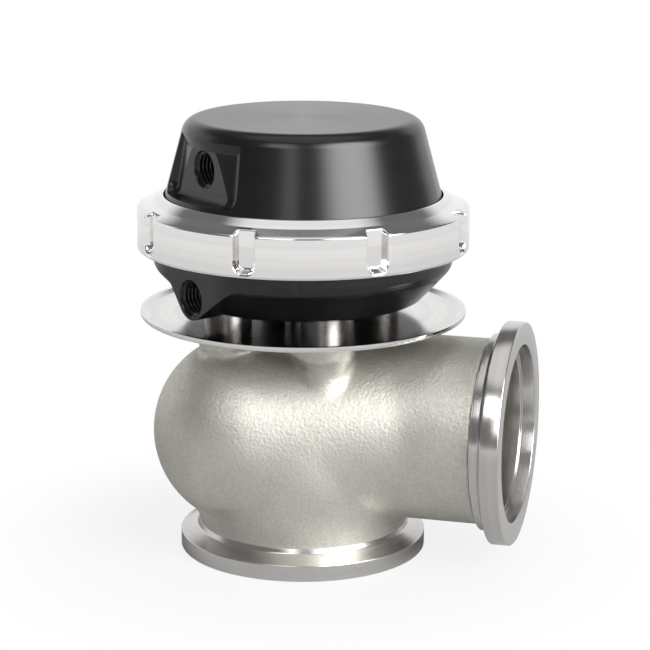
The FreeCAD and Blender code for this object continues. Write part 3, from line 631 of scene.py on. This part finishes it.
steel = turned_metal("turned_stainless", grey(0.60, 0.025), 0.20, 0.5)
outlet_steel = turned_metal("turned_stainless_outlet", grey(0.60, 0.025), 0.17, 0.5, "x", (0, 0, TUBE_Z * MM))
polished = turned_metal("mirror_stainless", grey(0.74, 0.012), 0.13, 0.12, spread=0.4, aniso=0.2)
# The spacers' steel gets a far darker colour than the other steel: painted shade for the dim gap between the
# shield and the body where they stand.
spacers_painted_dark_for_shade = turned_metal("spacer_steel", grey(0.20, 0.05), 0.27, 0.6, aniso=0.5)
bright = turned_metal("bright_aluminium", grey(0.82, 0.012), 0.08, 0.15, spread=0.5, aniso=0.3)
plain = turned_metal("plain_aluminium", grey(0.78), 0.28, 0.5)
bronze = turned_metal("guide_bronze", BRONZE, 0.26, 0.5)
plated = turned_metal("plated_steel", grey(0.45), 0.30, 0.4)
black = anodised()
blasted = cast_steel()
wire = spring_steel()
silicone = rubber()
seal = polymer()

FINISHES = {
    "valve": steel, "valve_seat": steel, "valve_guide": bronze, "stem_bush": bronze, "heat_shield": polished,
    "spacer_1": spacers_painted_dark_for_shade, "spacer_2": spacers_painted_dark_for_shade, "spacer_3": spacers_painted_dark_for_shade, "spacer_4": spacers_painted_dark_for_shade, "mounting_bolts": plated,
    "bolt_washers": plated, "stem_nut": plated, "stem_washer": plated, "seal_retainer": plated, "cap": black,
    "actuator_body": black, "locking_ring": bright, "piston": plain, "clamp_plate": plain, "stem_seal": seal,
    "valve_body": blasted, "outer_spring": wire, "inner_spring": wire, "diaphragm": silicone,
}
for node, material in FINISHES.items():
    paint(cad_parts[node], material)

place(casting("cast_body"), blasted, "cast_stainless", replaced=["valve_body"])
place(turned("inlet_flange_face", rounded(INLET_FLANGE), around_z), steel, "cast_stainless")
place(turned("outlet_flange_face", rounded(OUTLET_FLANGE), around_tube), outlet_steel, "cast_stainless")
place(locking_ring("ring_with_notches"), bright, "polished_aluminium", replaced=["locking_ring"])
place(port_thread("cap_port_thread", CAP_PORT), black, "black_anodised")
place(port_thread("body_port_thread", BODY_PORT), black, "black_anodised")
for name, size in SPRINGS.items():
    coil = place(spring(name + "_coil", *size), wire, "spring_steel", replaced=[name])
    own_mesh(coil)
skin = place(turned("diaphragm_skin", rounded(DIAPHRAGM), around_z, 96), silicone, "diaphragm_rubber",
             replaced=["diaphragm"])
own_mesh(skin)


def stage_floor():
    """A pale floor that keeps the part's shadow near it and is white to the eye further out."""
    corners = [(x * FLOOR_HALF, y * FLOOR_HALF, 0) for x, y in ((-1, -1), (1, -1), (1, 1), (-1, 1))]
    mesh = bpy.data.meshes.new("floor")
    mesh.from_pydata(corners, [], [(0, 1, 2, 3)])
    obj = bpy.data.objects.new("floor", mesh)
    bpy.context.scene.collection.objects.link(obj)
    s = Surface("pale_floor", Base_Color=grey(FLOOR_GREY), Roughness=0.8, Specular_IOR_Level=0.1)
    white = s.add("Emission", {"Color": (1, 1, 1, 1), "Strength": 1.0}).outputs[0]
    away = s.add("VectorMath", {0: s.coords}, operation="LENGTH").outputs["Value"]
    straight, mirrored = s.seen()
    share = s.math("MAXIMUM", s.math("MULTIPLY", straight, s.ramp(away, *FLOOR_SEEN)),
                   s.math("MULTIPLY", mirrored, s.ramp(away, *FLOOR_MIRRORED)))
    result = s.either(share, s.shader.outputs[0], white)
    s.tree.links.new(result, s.tree.nodes["Material Output"].inputs["Surface"])
    obj.data.materials.append(s.material)


def toward(bearing, elevation):
    """A direction; the bearing is from the camera's side, positive to its right."""
    flat = Matrix.Rotation(math.radians(bearing), 3, "Z") @ Vector((-CAMERA_ALONG[0], -CAMERA_ALONG[1], 0))
    e = math.radians(elevation)
    return flat.normalized() * math.cos(e) + Vector((0, 0, math.sin(e)))


def studio_world():
    """A white backdrop behind the part, a dimmer room in front and a broad soft light on the right."""
    world = bpy.data.worlds.new("studio")
    bpy.context.scene.world = world
    world.use_nodes = True
    s = Nodes(world.node_tree)
    way = s.add("TexCoord").outputs["Generated"]
    up = s.xyz(way)[2]
    backdrop = s.math("MULTIPLY", s.ramp(s.dot(way, toward(-165, 0)), *BACKDROP_EDGE),
                      s.ramp(up, *BACKDROP_TOP, 1.0, 0.0))
    room = s.ramp(up, 0.30, 0.62, ROOM_LOW, ROOM_HIGH)
    over = s.ramp(up, 0.80, 0.93, 0.0, OVERHEAD)
    side = s.ramp(s.dot(way, toward(*SIDE_LIGHT)), *SIDE_EDGE, 0.0, SIDE_STRENGTH)
    lit = s.math("MAXIMUM", s.math("MAXIMUM", backdrop, room), over)
    lit = s.math("ADD", lit, side)
    straight, mirrored = s.seen()
    light = s.tree.nodes["Background"]
    s.tree.links.new(lit, light.inputs["Strength"])
    light.inputs["Color"].default_value = (1, 1, 1, 1)
    shown = s.math("MAXIMUM", straight, lit)
    white = s.add("Background", {"Color": (1, 1, 1, 1), "Strength": shown}).outputs[0]
    result = s.either(s.math("MAXIMUM", straight, mirrored), light.outputs[0], white)
    s.tree.links.new(result, s.tree.nodes["World Output"].inputs["Surface"])


def soft_box(name, bearing, elevation, width, height, power):
    """A soft box that faces the part."""
    direction = toward(bearing, elevation)
    lamp = bpy.data.lights.new(name, "AREA")
    lamp.shape = "RECTANGLE"
    lamp.size = width
    lamp.size_y = height
    lamp.energy = power
    obj = bpy.data.objects.new(name, lamp)
    obj.location = Vector((0, 0, LAMP_AIM)) + direction * LAMP_DISTANCE
    obj.rotation_euler = direction.to_track_quat("Z", "Y").to_euler()
    bpy.context.scene.collection.objects.link(obj)


def camera():
    along = Vector((CAMERA_ALONG[0], CAMERA_ALONG[1], 0)).normalized()
    forward = along * math.cos(CAMERA_DOWN) - Vector((0, 0, math.sin(CAMERA_DOWN)))
    right = Vector((along.y, -along.x, 0))
    up = right.cross(forward)
    c, s = math.cos(CAMERA_ROLL), math.sin(CAMERA_ROLL)
    right, up = right * c + up * s, up * c - right * s
    data = bpy.data.cameras.new("camera")
    data.lens = CAMERA_LENS
    data.sensor_width = 36.0
    data.clip_start = 0.01
    data.clip_end = 20.0
    obj = bpy.data.objects.new("camera", data)
    turn = Matrix((right, up, -forward)).transposed()
    obj.matrix_world = Matrix.Translation(Vector(CAMERA_AT) * MM) @ turn.to_4x4()
    bpy.context.scene.collection.objects.link(obj)
    bpy.context.scene.camera = obj


bpy.context.scene.view_settings.view_transform = "Standard"
stage_floor()
studio_world()
for box in SOFT_BOXES:
    soft_box(*box)
camera()
